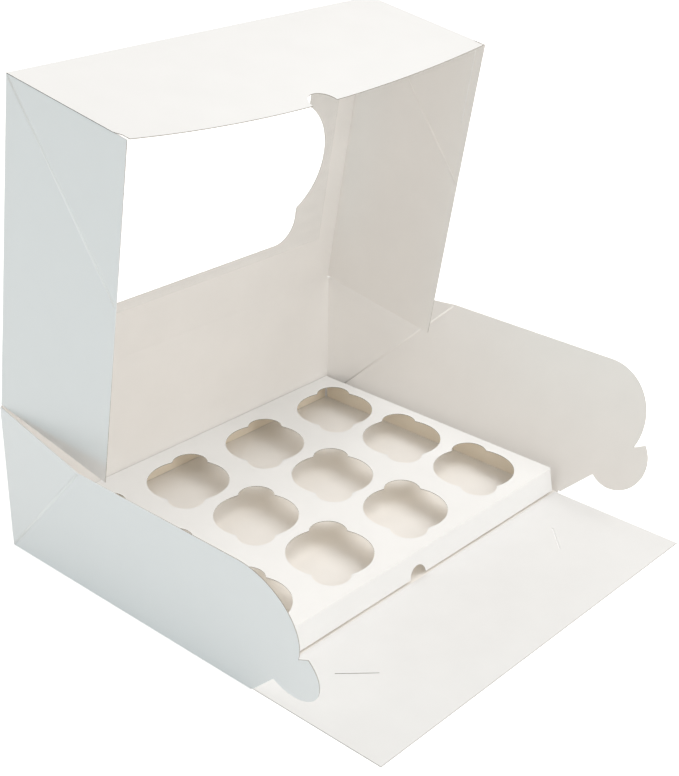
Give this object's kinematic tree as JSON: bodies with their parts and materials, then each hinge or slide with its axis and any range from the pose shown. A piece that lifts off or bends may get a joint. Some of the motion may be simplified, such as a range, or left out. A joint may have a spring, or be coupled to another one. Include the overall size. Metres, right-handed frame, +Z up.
{
  "type": "cupcake box",
  "caption": "Folded card cupcake box shown open, with a window lid, a front panel that folds down, and a card insert with round cup holes.",
  "frame": {"origin": "middle of the underside of the tray, on the surface that it stands on", "axes": "+Z up, -Y towards the open front, +X to the right along the long side"},
  "size_m": [0.3923, 0.3461, 0.3467],
  "materials": {
    "box_card": "coated white card, smooth matt",
    "insert_card": "white card, smooth matt",
    "clear_film": "thin clear film, glossy"
  },
  "bodies": {
    "tray": {"base_tray": "box_card", "cup_insert": "insert_card"},
    "front_panel": {"front_panel": "box_card"},
    "left_front_flap": {"left_front_flap": "box_card"},
    "right_front_flap": {"right_front_flap": "box_card"},
    "lid": {"lid": "box_card", "window_film": "clear_film"}
  },
  "joints": [
    {"name": "lid_hinge", "type": "hinge", "parent": "tray", "child": "lid", "pos_m": [0, 0.12, 0.111], "axis": [1, 0, 0], "range_deg": [-99.6, 80.4]},
    {"name": "front_panel_fold", "type": "hinge", "parent": "tray", "child": "front_panel", "pos_m": [0, -0.12, 0.00022], "axis": [-1, 0, 0], "range_deg": [0, 90]},
    {"name": "left_flap_fold", "type": "hinge", "parent": "tray", "child": "left_front_flap", "pos_m": [-0.165, -0.1212, 0.00022], "axis": [-0.1822, 0, 0.9833], "range_deg": [0, 90]},
    {"name": "right_flap_fold", "type": "hinge", "parent": "tray", "child": "right_front_flap", "pos_m": [0.165, -0.1212, 0.00022], "axis": [-0.3746, 0, -0.9272], "range_deg": [0, 90]}
  ]
}
